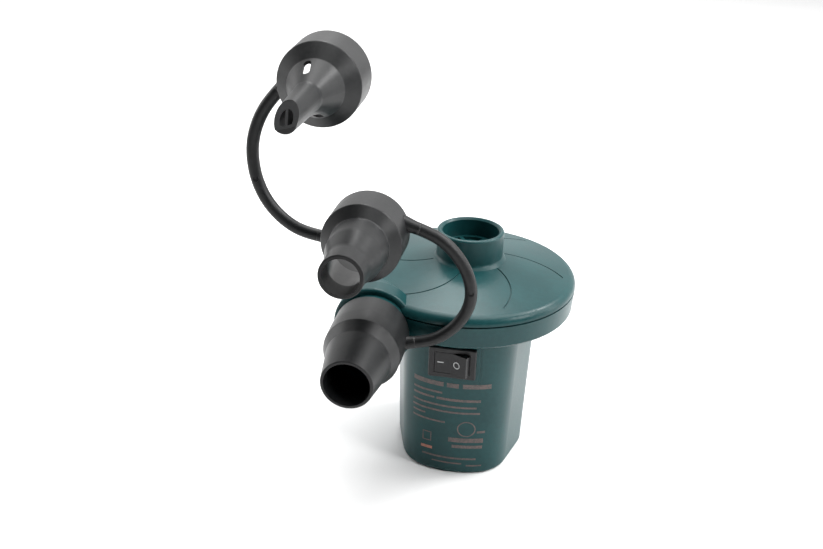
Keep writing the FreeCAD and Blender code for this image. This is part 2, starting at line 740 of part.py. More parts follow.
def switch_lead():
    """From the right switch tab round the motor to the top of the board."""
    tab_x = switch_x + tab_spread + 2.5
    tab_y = switch_back + switch_tab - 1.4
    x = beside_motor(1)
    end = V(board_half - 3, board_y - 0.05, board_high - 5)
    return tube_along([V(tab_x, tab_y, switch_z), V(tab_x + 3, tab_y, switch_z), V(19, -16, switch_z),
                       V(x, 0, switch_z - 1), V(17, 17, switch_z - 2), V(end.x, end.y - 3, end.z), end],
                      lead_r)[0]


def motor_leads():
    leads = []
    for side in (-1, 1):
        foot = V(side * 11, 0, motor_low - 6.05)
        top = V(side * 9, board_y - 0.05, board_low + 6)
        leads.append(tube_along([foot, foot - V(0, 0, 4), V(side * 8.5, 10, foot.z - 4.5),
                                 V(side * 9, top.y - 3, foot.z + 3), top - V(0, 2.1, 3),
                                 top - V(0, 2.1, 0), top], lead_r)[0])
    return Part.makeCompound(leads)


# ---------------------------------------------------------------- nozzles and tethers
def placed(shape, at, axis):
    shape.Placement = FreeCAD.Placement(at, FreeCAD.Rotation(UP, axis)).multiply(shape.Placement)
    return shape


def stub(point, direction):
    """Where a tether leaves a skirt: a short cone that widens into the skirt."""
    inward = unit(direction) * stub_length
    return Part.makeCone(tether_r, stub_r, stub_length, point, inward)


def nozzle(outer, inner, at, axis, stubs, cuts=()):
    shell = placed(turned(outer), at, axis).fuse(stubs)
    return shell.cut([placed(c, at, axis) for c in (turned(inner), *cuts)])


def socket_profile(throat_at, throat_r):
    bore = port_r + skirt_gap
    return [(0, -1, 0), (bore + 0.6, -1, 0), (bore + 0.6, 0, 0), (bore, 0.7, 0), (bore, skirt_depth, 0),
            (throat_r, throat_at, 0)]


def nozzle_large():
    outer = [(0, 0, 0), (skirt_r, 0, 0.5), (skirt_r, 12, 30), (skirt_r - 0.25, 19.7, 0.8), (13.35, 25.1, 1.5),
             (large_mouth_r, large_length, 0.5), (0, large_length, 0)]
    inner = socket_profile(24.5, 11.9)
    bore = large_mouth_r - nozzle_wall
    inner += [(bore, large_length - 8, 0), (bore, large_length + 1, 0), (0, large_length + 1, 0)]
    end = lower_tether[-1]
    return nozzle(outer, inner, large_at, large_axis, [stub(end, end - lower_tether[-2])])


def nozzle_medium():
    outer = [(0, 0, 0), (skirt_r, 0, 0.5), (skirt_r - 0.25, 17.3, 0.8), (11.6, 21.3, 1.0),
             (10.9, 31.0, 12), (8.5, 41.0, 12), (medium_mouth_r, medium_length, 0.5),
             (0, medium_length, 0)]
    bore = medium_mouth_r - medium_mouth_wall
    inner = socket_profile(20.6, 10.2)
    inner += [(bore, medium_length - 9, 0), (bore, medium_length + 1, 0), (0, medium_length + 1, 0)]
    stubs = [stub(lower_tether[0], lower_tether[0] - lower_tether[1]),
             stub(upper_tether[0], upper_tether[0] - upper_tether[1])]
    return nozzle(outer, inner, medium_at, medium_axis, stubs)


def tip_bevel():
    """The wedge cut away above the slanted end of the valve tip."""
    corners = [V(-10, valve_tip_r * 1.05, valve_length - bevel_length),
               V(-10, bevel_lip - valve_tip_r, valve_length + 0.1),
               V(-10, 10, valve_length + 0.1), V(-10, 10, valve_length - bevel_length)]
    return Part.Face(Part.makePolygon(corners + corners[:1])).extrude(V(20, 0, 0))


def nozzle_valve():
    outer = [(0, 0, 0), (skirt_r, 0, 0.5), (skirt_r - 0.25, 16.5, 0.8), (10.7, 21.3, 0.8),
             (5.4, 33.0, 3.0), (valve_tip_r, valve_length, 0.6), (0, valve_length, 0)]
    mouth = valve_length - bevel_length - 1
    inner = socket_profile(19.6, 10.4) + [(9.3, 21.8, 0), (3.9, 33.6, 0), (tip_bore, mouth, 0), (0, mouth, 0)]
    half = (vent_length - vent_width) / 2
    vents = block(-vent_width / 2, vent_width / 2, -20, 20, vent_at - half, vent_at + half)
    vents = vents.fuse([Part.makeCylinder(vent_width / 2, 40, V(0, -20, vent_at + side * half), V(0, 1, 0))
                        for side in (-1, 1)])
    web = block(-tip_web / 2, tip_web / 2, -10, 10, mouth, valve_length + 2)
    twin_mouth = rod(tip_bore, mouth - 0.5, valve_length - 1).cut(web)
    end = upper_tether[-1]
    return nozzle(outer, inner, valve_at, valve_axis, [stub(end, end - upper_tether[-2])],
                  [spun(vents, vent_turn), spun(twin_mouth, bevel_turn), spun(tip_bevel(), bevel_turn)])


def flex_point(route):
    return (route[flex_run] + route[flex_run + 1]) * 0.5


def tether_halves(route, names, domed):
    """One tether, parted at its flex point; the domed half ends in a ball centred on that point."""
    whole, length = tube_along(route, tether_r)
    middle = flex_point(route)
    along = unit(route[flex_run + 1] - route[flex_run])
    for i, way in enumerate((along * -1, along)):
        gap = 0 if i == domed else flex_gap
        half = whole.common(Part.makeCylinder(100, 100, middle + way * gap, way))
        nodes[names[i]] = half.fuse(Part.makeSphere(tether_r, middle)) if i == domed else half
    print(names, "length %.1f" % length, "volume/(section*length) %.3f"
          % (whole.Volume / (math.pi * tether_r ** 2 * length)),
          "bends", ["%.0f" % r for r in bend_radii(route)[1:-1]])


# ---------------------------------------------------------------- all nodes
def build():
    nodes["main_housing"] = main_housing()
    nodes["volute_cover"] = volute_cover()
    nodes["seam_gasket"] = seam_gasket()
    nodes["inlet_grille"] = inlet_grille()
    nodes["outlet_spigot"] = outlet_spigot()
    nodes["base_cover"] = base_cover()
    nodes["base_screws"] = screws(base_screws_at, 0.1, screw_head + 0.1, 14)
    nodes["cover_screws"] = screws(cover_screw_places(), chamber_floor + 0.4 - screw_head,
                                   chamber_floor + 0.4, seam_z + 2.4)
    nodes["motor_plate"] = motor_plate()
    nodes["plate_screws"] = screws(plate_screw_places(), fan_plate_top - plate_screw_head, fan_plate_top,
                                   body_top + 0.3)
    nodes["motor_screws"] = screws(motor_screw_places(), fan_plate_top - plate_screw_head, fan_plate_top,
                                   motor_top - 3)
    nodes["motor_can"] = motor_can()
    nodes["motor_end_cap"] = motor_end_cap()
    nodes["field_magnets"] = field_magnets()
    nodes["armature_core"] = armature_core()
    nodes["armature_windings"] = armature_windings()
    nodes["commutator"] = commutator()
    nodes["motor_shaft"] = rod(shaft_r, motor_low + 1.2, blade_top + 3.0)
    nodes["upper_bushing"] = ring(bushing_r, shaft_r + running_gap, motor_top - 1.4, fan_plate_top - 0.5)
    nodes["lower_bushing"] = ring(bushing_r, shaft_r + running_gap, motor_low + 1.05, motor_low + 4.9)
    nodes["carbon_brushes"] = carbon_brushes()
    nodes["brush_arms"] = brush_arms()
    nodes["motor_terminals"] = motor_terminals()
    nodes["motor_sleeve"] = ring(sleeve_r, motor_r + 0.02, motor_low + 2, motor_low + 11)
    nodes["impeller"] = impeller()
    nodes["impeller_nut"] = impeller_nut()
    nodes["switch_frame"] = switch_frame()
    nodes["switch_rocker"] = switch_rocker()
    nodes["rocker_plunger"] = rocker_plunger()
    nodes["switch_terminals"] = switch_terminals()
    nodes["power_inlet"] = power_inlet()
    nodes["inlet_pins"] = inlet_pins()
    nodes["circuit_board"] = circuit_board()
    nodes["bridge_rectifier"] = bridge_rectifier()
    nodes["capacitor"] = capacitor()
    nodes["mains_leads"] = mains_leads()
    nodes["switch_lead"] = switch_lead()
    nodes["motor_leads"] = motor_leads()
    nodes["nozzle_large"] = nozzle_large()
    nodes["nozzle_medium"] = nozzle_medium()
    nodes["nozzle_valve"] = nozzle_valve()
    tether_halves(lower_tether, ("lower_tether_top", "lower_tether_bottom"), 1)
    tether_halves(upper_tether, ("upper_tether_bottom", "upper_tether_top"), 0)


os.makedirs("parts", exist_ok=True)
build()
for name, shape in nodes.items():
    if not shape.isValid() or not shape.Solids:
        print("check", name, "valid", shape.isValid(), "solids", len(shape.Solids))
    shape.exportStep("parts/%s.step" % name)
print(len(nodes), "nodes")
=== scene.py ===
import json
import math

import bmesh
import bpy
from mathutils import Matrix, Vector
from mathutils.bvhtree import BVHTree


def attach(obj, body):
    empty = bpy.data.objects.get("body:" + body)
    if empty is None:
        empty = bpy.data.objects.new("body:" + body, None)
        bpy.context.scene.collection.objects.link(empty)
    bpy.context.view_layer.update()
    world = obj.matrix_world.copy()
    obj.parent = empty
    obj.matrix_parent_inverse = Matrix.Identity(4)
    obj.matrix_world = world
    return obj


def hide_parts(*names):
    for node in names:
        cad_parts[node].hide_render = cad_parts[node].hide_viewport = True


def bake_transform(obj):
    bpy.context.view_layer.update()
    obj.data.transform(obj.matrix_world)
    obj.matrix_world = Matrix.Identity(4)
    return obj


# Small electric air pump with three nozzles on two moulded tethers. Metres, in the CAD's frame.

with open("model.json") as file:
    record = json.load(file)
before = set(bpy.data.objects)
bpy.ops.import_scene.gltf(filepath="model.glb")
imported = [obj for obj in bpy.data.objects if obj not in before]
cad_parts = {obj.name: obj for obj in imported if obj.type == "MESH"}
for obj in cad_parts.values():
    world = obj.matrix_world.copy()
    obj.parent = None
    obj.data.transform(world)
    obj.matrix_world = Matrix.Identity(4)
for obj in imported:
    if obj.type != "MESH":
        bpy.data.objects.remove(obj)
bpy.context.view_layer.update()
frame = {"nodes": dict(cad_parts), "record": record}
nodes = frame["nodes"]
scene = bpy.context.scene
MM = 0.001
FULL_TURN = 2 * math.pi


# ---------------------------------------------------------------- camera
def make_camera():
    """The camera, from its place and the directions of its right, its up and its back."""
    place = (0.038526, -0.378258, 0.268535)
    right = Vector((0.98280, 0.18235, 0.02925))
    up = Vector((-0.10469, 0.41963, 0.90164))
    back = Vector((0.15214, -0.88919, 0.43150))
    data = bpy.data.cameras.new("camera")
    data.sensor_width = 36.0
    data.lens = 40.26
    data.clip_start = 0.01
    camera = bpy.data.objects.new("camera", data)
    turn = Matrix((right, up, back)).transposed().to_4x4()
    camera.matrix_world = Matrix.Translation(place) @ turn
    scene.collection.objects.link(camera)
    scene.camera = camera


make_camera()

# ---------------------------------------------------------------- tethers
TETHER_R = 0.0025
LOWER_TETHER = [(-0.0158, -0.0535, 0.1311), (-0.0090, -0.0535, 0.1291), (-0.0019, -0.0535, 0.1243),
                (0.0040, -0.0535, 0.1167), (0.0073, -0.0535, 0.1080), (0.0069, -0.0535, 0.0994),
                (0.0027, -0.0535, 0.0910), (-0.0038, -0.0535, 0.0846), (-0.0096, -0.0535, 0.0816),
                (-0.0159, -0.0535, 0.0802)]
UPPER_TETHER = [(-0.0534, -0.0537, 0.1237), (-0.0606, -0.0535, 0.1245), (-0.0684, -0.0532, 0.1282),
                (-0.0753, -0.0528, 0.1348), (-0.0797, -0.0524, 0.1432), (-0.0815, -0.0520, 0.1520),
                (-0.0813, -0.0515, 0.1605), (-0.0786, -0.0509, 0.1690), (-0.0742, -0.0504, 0.1762),
                (-0.0693, -0.0499, 0.1815)]


def linked(name, mesh):
    """An object of the scene that holds this data."""
    piece = bpy.data.objects.new(name, mesh)
    scene.collection.objects.link(piece)
    return piece


def outward(mesh):
    """Merges doubled points and turns the faces outwards."""
    work = bmesh.new()
    work.from_mesh(mesh)
    bmesh.ops.remove_doubles(work, verts=work.verts, dist=1e-7)
    bmesh.ops.recalc_face_normals(work, faces=work.faces)
    work.to_mesh(mesh)
    work.free()
    return mesh


def smooth_line(points):
    """Points along the NURBS spline that has these control points."""
    data = bpy.data.curves.new("line", "CURVE")
    data.dimensions = "3D"
    data.resolution_u = 12
    spline = data.splines.new("NURBS")
    spline.points.add(len(points) - 1)
    for point, place in zip(spline.points, points):
        point.co = (*place, 1.0)
    spline.order_u = 3
    spline.use_endpoint_u = True
    line = linked("line", data)
    mesh = bpy.data.meshes.new_from_object(line)
    path = [v.co.copy() for v in mesh.vertices]
    bpy.data.objects.remove(line)
    bpy.data.meshes.remove(mesh)
    return path


def swept_tube(name, path, radius, sides=28):
    """A closed round tube along a path, with a UV map that runs round and along it."""
    mesh = bpy.data.meshes.new(name)
    work = bmesh.new()
    uv = work.loops.layers.uv.new("along")
    side = Vector((0, 1, 0))
    rings, runs, run = [], [], 0.0
    for i, place in enumerate(path):
        ahead = (path[min(i + 1, len(path) - 1)] - path[max(i - 1, 0)]).normalized()
        side = (side - ahead * side.dot(ahead)).normalized()
        across = ahead.cross(side)
        run += (place - path[i - 1]).length if i else 0
        runs.append(run)
        rings.append([work.verts.new(place + (side * math.cos(a) + across * math.sin(a)) * radius)
                      for a in (FULL_TURN * k / sides for k in range(sides))])
    for i in range(len(rings) - 1):
        for k in range(sides):
            n = (k + 1) % sides
            face = work.faces.new((rings[i][k], rings[i][n], rings[i + 1][n], rings[i + 1][k]))
            face.smooth = True
            turns = (k / sides, (k + 1) / sides, (k + 1) / sides, k / sides)
            for loop, u, v in zip(face.loops, turns, (runs[i], runs[i], runs[i + 1], runs[i + 1])):
                loop[uv].uv = (u, v)
    for ring, place in ((rings[0], path[0]), (rings[-1], path[-1])):
        pole = work.verts.new(place)
        for k in range(sides):
            work.faces.new((ring[k], ring[(k + 1) % sides], pole))
    bmesh.ops.recalc_face_normals(work, faces=work.faces)
    work.to_mesh(mesh)
    work.free()
    return linked(name, mesh)


def add_turned(work, profile, place, way, sides):
    """Adds a closed solid of revolution about way; the profile lists (radius, distance along it)."""
    turn = Matrix.Translation(place) @ way.to_track_quat("Z", "Y").to_matrix().to_4x4()
    rings = [[work.verts.new(turn @ Vector((r * math.cos(a), r * math.sin(a), along)))
              for a in (FULL_TURN * k / sides for k in range(sides))] for r, along in profile]
    walls = [work.faces.new((low[k], low[(k + 1) % sides], high[(k + 1) % sides], high[k]))
             for low, high in zip(rings, rings[1:]) for k in range(sides)]
    work.faces.new(list(reversed(rings[0])))
    work.faces.new(rings[-1])
    return walls


def add_gate_mark(piece, middle, outward_way, radius=0.0013, lift=0.0002):
    """A small round moulding gate that stands on the tether's skin, sunk into it at its foot."""
    work = bmesh.new()
    work.from_mesh(piece.data)
    sunk, edge_drop, edge_width, dimple = 0.0005, 0.00008, 0.0001, 0.0002
    foot, top = TETHER_R - sunk, TETHER_R + lift
    profile = [(radius, foot), (radius, top - edge_drop), (radius - edge_width, top),
               (radius * 0.55, top), (radius * 0.45, top - dimple)]
    add_turned(work, profile, middle, outward_way, sides=20)
    work.to_mesh(piece.data)
    work.free()


def make_tether(name, points, gate_at):
    """A tether along its points, with a gate mark on its front nearest to gate_at."""
    path = smooth_line(points)
    piece = swept_tube(name, path, TETHER_R)
    nearest = min(path, key=lambda p: (p - Vector(gate_at)).length)
    add_gate_mark(piece, nearest, Vector((0.1, -1, 0.4)).normalized())
    return piece, path


lower_tether, lower_path = make_tether("lower_tether", LOWER_TETHER, (0.0073, -0.0535, 0.1052))
upper_tether, upper_path = make_tether("upper_tether", UPPER_TETHER, (-0.0800, -0.0523, 0.1445))


def tether_root(name, points, sides=36):
    """The smooth swelling where a tether runs into a nozzle's skirt, from its first two points."""
    start, second = Vector(points[0]), Vector(points[1])
    profile = [(0.00251, -0.0018), (0.00253, -0.0010), (0.00257, 0.0), (0.00262, 0.0010), (0.00270, 0.0020),
               (0.00281, 0.0030), (0.00296, 0.0040), (0.00310, 0.0048)]
    mesh = bpy.data.meshes.new(name)
    work = bmesh.new()
    for wall in add_turned(work, profile, start, start - second, sides):
        wall.smooth = True
    bmesh.ops.recalc_face_normals(work, faces=work.faces)
    work.to_mesh(mesh)
    work.free()
    return linked(name, mesh)


ROOTS = [(tether_root("lower_tether_root_top", LOWER_TETHER), "medium_nozzle"),
         (tether_root("lower_tether_root_bottom", LOWER_TETHER[::-1]), "large_nozzle"),
         (tether_root("upper_tether_root_bottom", UPPER_TETHER), "medium_nozzle"),
         (tether_root("upper_tether_root_top", UPPER_TETHER[::-1]), "valve_nozzle")]


# ---------------------------------------------------------------- finishes
class Reading:
    """A number that varies over a surface; an operator on it adds its Math node."""

    def __init__(self, finish, socket):
        self.finish = finish
        self.socket = socket

    def maths(self, operation, first, second):
        """A Math node on two values."""
        return self.finish.add("ShaderNodeMath", {"operation": operation}, {0: first, 1: second})

    def __add__(self, other):
        return self.maths("ADD", self, other)

    def __radd__(self, other):
        return self.maths("ADD", other, self)

    def __sub__(self, other):
        return self.maths("SUBTRACT", self, other)

    def __rsub__(self, other):
        return self.maths("SUBTRACT", other, self)

    def __mul__(self, other):
        return self.maths("MULTIPLY", self, other)

    def __rmul__(self, other):
        return self.maths("MULTIPLY", other, self)


class Finish:
    """A material in the making."""

    def __init__(self, name):
        self.material = bpy.data.materials.new(name)
        self.material.use_nodes = True
        self.tree = self.material.node_tree
        self.tree.nodes.clear()
        self.place = self.add("ShaderNodeTexCoord", {}, {}, "Object")

    def add(self, kind, settings, values, output=0):
        """Adds a node: its settings first, then the values or links of its sockets."""
        node = self.tree.nodes.new(kind)
        for setting, value in settings.items():
            if setting == "stops":
                ramp = node.color_ramp
                while len(ramp.elements) < len(value):
                    ramp.elements.new(0.5)
                for stop, (at, colour) in zip(ramp.elements, value):
                    stop.position = at
                    stop.color = (*colour, 1.0)
            else:
                setattr(node, setting, value)
        for socket, value in values.items():
            if isinstance(value, Reading):
                self.tree.links.new(value.socket, node.inputs[socket])
            else:
                node.inputs[socket].default_value = value
        return Reading(self, node.outputs[output] if len(node.outputs) else None)

    def noise(self, scale, detail=2.0, place=None):
        """Cloudy noise; scale is cells to the metre."""
        return self.add("ShaderNodeTexNoise", {"noise_dimensions": "3D"},
                        {"Vector": place or self.place, "Scale": scale, "Detail": detail})

    def cells(self, size):
        """Distance from the middles of cells of this size, in metres."""
        return self.add("ShaderNodeTexVoronoi", {"feature": "F1"},
                        {"Vector": self.place, "Scale": 1.0 / size})

    def stretched(self, scale):
        """Object coordinates, stretched along each axis."""
        return self.add("ShaderNodeMapping", {}, {"Vector": self.place, "Scale": scale})

    def axis(self, name):
        """One of X, Y and Z of the place on the surface."""
        return self.add("ShaderNodeSeparateXYZ", {}, {0: self.place}, name)

    def between(self, value, low, high):
        """0 below low, 1 above high, and a smooth step in between."""
        return self.add("ShaderNodeMapRange", {"interpolation_type": "SMOOTHSTEP"},
                        {"Value": value, "From Min": low, "From Max": high})

    def mixed(self, share, first, second):
        """The first colour where share is 0, and the second where it is 1."""
        colours = [c if isinstance(c, Reading) else (*c, 1.0) for c in (first, second)]
        return self.add("ShaderNodeMix", {"data_type": "RGBA"}, {0: share, 6: colours[0], 7: colours[1]}, 2)

    def bumped(self, height, strength, distance):
        """A normal that follows the height."""
        return self.add("ShaderNodeBump", {}, {"Height": height, "Strength": strength, "Distance": distance})

    def done(self, varying, constant):
        """Ends the material: the sockets that vary, and the ones that are the same all over."""
        shader = self.add("ShaderNodeBsdfPrincipled", {}, {**varying, **constant})
        self.add("ShaderNodeOutputMaterial", {}, {"Surface": shader})
        return self.material


def moulded_plastic(name, dark, light, rough, grain_size=0.0004, grain=0.35, worn=None, gloss=0.25):
    """Satin injection-moulded plastic: slow drifts of tone, faint mottling and a fine spark-eroded grain."""
    finish = Finish(name)
    drift = finish.noise(45.0)
    mottle = finish.noise(520.0, 3.0)
    pits = finish.noise(1.0 / grain_size, 2.0)
    colour = finish.mixed(finish.between(drift * 0.65 + mottle * 0.35, 0.38, 0.62), dark, light)
    roughness = rough - 0.05 + mottle * 0.07 + pits * 0.06
    if worn:
        foot = 1 - finish.between(finish.axis("Z"), 0.0004, 0.0032)
        scuff = foot * finish.between(finish.noise(900.0, 4.0), 0.50, 0.62) * 0.55
        colour = finish.mixed(scuff, colour, worn)
        roughness = roughness + scuff * 0.25
    height = pits * 0.7 + mottle * 0.3
    return finish.done({"Base Color": colour, "Roughness": roughness,
                        "Normal": finish.bumped(height, grain, 0.00008)},
                       {"IOR": 1.5, "Specular IOR Level": gloss})


def rubbery(name, dark, light, rough, cell=0.0006):
    """Matte rubber or foam: open cells and a dusty bloom."""
    finish = Finish(name)
    cells = finish.cells(cell)
    bloom = finish.noise(180.0, 4.0)
    colour = finish.mixed(finish.between(bloom, 0.42, 0.66), dark, light)
    return finish.done({"Base Color": colour, "Roughness": rough + bloom * 0.12,
                        "Normal": finish.bumped(cells, 0.5, 0.0001)}, {"IOR": 1.5})


def turned_metal(name, dark, light, rough, stretch=(60.0, 60.0, 4200.0), tarnish=(0.45, 0.7)):
    """Bright metal with fine turning marks and cloudy tarnish."""
    finish = Finish(name)
    marks = finish.noise(1.0, 3.0, finish.stretched(stretch))
    cloud = finish.noise(260.0, 4.0)
    colour = finish.mixed(finish.between(cloud * 0.7 + marks * 0.3, *tarnish), light, dark)
    return finish.done({"Base Color": colour, "Roughness": rough + marks * 0.12 + cloud * 0.10,
                        "Normal": finish.bumped(marks, 0.3, 0.00003)}, {"Metallic": 1.0})


def sintered(name, dark, light, rough, metallic, speck=0.0007):
    """Pressed powder parts, such as ferrite and carbon, with specks and small voids."""
    finish = Finish(name)
    specks = finish.cells(speck)
    cloud = finish.noise(300.0, 3.0)
    colour = finish.mixed(finish.between(specks * 0.6 + cloud * 0.4, 0.3, 0.65), dark, light)
    return finish.done({"Base Color": colour, "Roughness": rough + cloud * 0.15,
                        "Normal": finish.bumped(specks, 0.3, 0.00005)}, {"Metallic": metallic})


def laminated_iron(name):
    """Stacked core sheets: thin dark lines between bright edges."""
    finish = Finish(name)
    sheet = finish.add("ShaderNodeTexWave", {"wave_type": "BANDS", "bands_direction": "Z"},
                       {"Vector": finish.place, "Scale": 620.0, "Distortion": 0.2}, "Fac")
    oxide = finish.noise(350.0, 4.0)
    edge = finish.between(sheet, 0.15, 0.45)
    colour = finish.mixed(edge * (0.6 + oxide * 0.4), (0.05, 0.045, 0.04), (0.34, 0.33, 0.32))
    return finish.done({"Base Color": colour, "Roughness": 0.38 + oxide * 0.2,
                        "Normal": finish.bumped(edge, 0.4, 0.00008)}, {"Metallic": 0.9})


def wound_copper(name):
    """Enamelled winding wire laid side by side, with a painted highlight along each wire and painted shade
    between the wires.
    """
    finish = Finish(name)
    wires = finish.add("ShaderNodeTexWave", {"wave_type": "BANDS", "bands_direction": "Z"},
                       {"Vector": finish.place, "Scale": 700.0, "Distortion": 1.4, "Detail Scale": 300.0},
                       "Fac")
    tone = finish.noise(240.0, 3.0)
    # painted highlight and painted shade: the copper is mixed brighter along each wire band and darker
    # between the bands, with some random tone
    painted_wire_shine = finish.between(wires * 0.5 + tone * 0.5, 0.3, 0.7)
    colour = finish.mixed(painted_wire_shine, (0.24, 0.06, 0.02), (0.62, 0.23, 0.09))
    return finish.done({"Base Color": colour, "Roughness": 0.26 + tone * 0.12,
                        "Normal": finish.bumped(wires, 0.6, 0.00012)}, {"Metallic": 0.85})


def board_resin(name):
    """Green solder resist over a woven glass board, paler along the lines of its tracks."""
    finish = Finish(name)
    upright = finish.add("ShaderNodeMapping", {}, {"Vector": finish.place, "Rotation": (math.pi / 2, 0, 0)})
    tracks = finish.add("ShaderNodeTexBrick", {"offset": 0.5},
                        {"Vector": upright, "Scale": 110.0, "Mortar Size": 0.03, "Mortar Smooth": 0.1}, "Fac")
    weave = finish.noise(2400.0, 1.0)
    colour = finish.mixed(tracks, (0.008, 0.085, 0.032), (0.035, 0.19, 0.07))
    return finish.done({"Base Color": colour, "Roughness": 0.28 + weave * 0.12,
                        "Normal": finish.bumped(tracks * 0.8 + weave * 0.2, 0.4, 0.00006)}, {"IOR": 1.5})


def printing_ink(name, dark, light):
    """Pad-printed ink, thin enough in places for the plastic to show."""
    finish = Finish(name)
    thin = finish.noise(1500.0, 4.0)
    patch = finish.noise(320.0, 2.0)
    colour = finish.mixed(finish.between(thin * 0.6 + patch * 0.4, 0.40, 0.60), dark, light)
    return finish.done({"Base Color": colour, "Roughness": 0.45 + thin * 0.15,
                        "Normal": finish.bumped(thin, 0.15, 0.00003)}, {"IOR": 1.5})


def tether_rubber(name, dark, light):
    """The tether's satin plastic, with faint draw lines that run along it."""
    finish = Finish(name)
    along = finish.add("ShaderNodeUVMap", {"uv_map": "along"}, {})
    drawn = finish.add("ShaderNodeMapping", {}, {"Vector": along, "Scale": (26.0, 90.0, 1)})
    lines = finish.noise(1.0, 2.0, drawn)
    mottle = finish.noise(520.0, 3.0)
    pits = finish.noise(2400.0, 2.0)
    colour = finish.mixed(finish.between(lines * 0.5 + mottle * 0.5, 0.38, 0.62), dark, light)
    return finish.done({"Base Color": colour, "Roughness": 0.36 + mottle * 0.08 + pits * 0.06,
                        "Normal": finish.bumped(pits * 0.6 + lines * 0.4, 0.3, 0.00008)},
                       {"IOR": 1.5, "Specular IOR Level": 0.25})


CHARCOAL = ((0.0065, 0.0070, 0.0075), (0.0115, 0.0120, 0.0125))
FINISHES = {
    "housing_teal": moulded_plastic("housing_teal", (0.0040, 0.037, 0.0395), (0.0060, 0.046, 0.0485), 0.32,
                                    worn=(0.07, 0.13, 0.13)),
    "nozzle_grey": moulded_plastic("nozzle_grey", *CHARCOAL, 0.38),
    "switch_black": moulded_plastic("switch_black", (0.013, 0.013, 0.014), (0.020, 0.020, 0.021), 0.36,
                                    grain_size=0.0003, grain=0.25),
    "fan_plastic": moulded_plastic("fan_plastic", (0.30, 0.30, 0.29), (0.38, 0.38, 0.36), 0.45),
    "cap_plastic": moulded_plastic("cap_plastic", (0.52, 0.50, 0.44), (0.62, 0.60, 0.54), 0.42),
    "component_black": moulded_plastic("component_black", (0.010, 0.010, 0.010), (0.022, 0.022, 0.022),
                                       0.50),
    "lead_red": moulded_plastic("lead_red", (0.30, 0.018, 0.014), (0.42, 0.03, 0.02), 0.35, grain=0.2),
    "gasket_black": rubbery("gasket_black", (0.008, 0.008, 0.008), (0.022, 0.022, 0.022), 0.78),
    "sleeve_rubber": rubbery("sleeve_rubber", (0.012, 0.012, 0.012), (0.030, 0.030, 0.030), 0.62,
                             cell=0.0011),
    "steel": turned_metal("steel", (0.32, 0.32, 0.33), (0.60, 0.60, 0.61), 0.22),
    "motor_steel": turned_metal("motor_steel", (0.42, 0.41, 0.38), (0.66, 0.65, 0.62), 0.28,
                                stretch=(900.0, 900.0, 30.0)),
    "copper": wound_copper("copper"),
    "bronze": turned_metal("bronze", (0.28, 0.14, 0.05), (0.55, 0.32, 0.13), 0.36),
    "brass": turned_metal("brass", (0.45, 0.30, 0.09), (0.78, 0.57, 0.24), 0.24),
    "ferrite": sintered("ferrite", (0.035, 0.034, 0.034), (0.085, 0.083, 0.080), 0.55, 0.1),
    "carbon": sintered("carbon", (0.012, 0.012, 0.013), (0.045, 0.045, 0.047), 0.42, 0.3),
    "core_iron": laminated_iron("core_iron"),
    "board_green": board_resin("board_green"),
}
TETHER_FINISH = tether_rubber("tether_charcoal", *CHARCOAL)
INK = printing_ink("copper_ink", (0.055, 0.050, 0.048), (0.105, 0.072, 0.065))
ORANGE_INK = printing_ink("orange_ink", (0.22, 0.09, 0.06), (0.32, 0.12, 0.08))
WHITE_INK = printing_ink("white_ink", (0.42, 0.43, 0.43), (0.60, 0.61, 0.61))

for part in frame["record"]["subparts"]:
    node = nodes[part["node"]]
    finish = FINISHES[part["material_slot"]]
    if not node.material_slots:
        node.data.materials.append(finish)
    for slot in node.material_slots:
        slot.material = finish


def hang_tether(tether, path, halves):
    """Gives a tether, which runs from the medium nozzle, its finish and hides the two CAD halves that it
    stands in for.
    """
    tether.data.materials.append(TETHER_FINISH)
    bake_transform(tether)
    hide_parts(*halves)
    length = sum((b - a).length for a, b in zip(path, path[1:]))


hang_tether(lower_tether, lower_path,
            ("lower_tether_top", "lower_tether_bottom"))
hang_tether(upper_tether, upper_path,
            ("upper_tether_bottom", "upper_tether_top"))

for root, body in ROOTS:
    root.data.materials.append(FINISHES["nozzle_grey"])
    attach(root, body)


# ---------------------------------------------------------------- printing
def surface_of(*names):
    """The surface of some CAD nodes, ready for rays."""
    points, faces = [], []
    for name in names:
        mesh = nodes[name].data
        first = len(points)
        points += [v.co.copy() for v in mesh.vertices]
        faces += [[first + i for i in face.vertices] for face in mesh.polygons]
    return BVHTree.FromPolygons(points, faces)


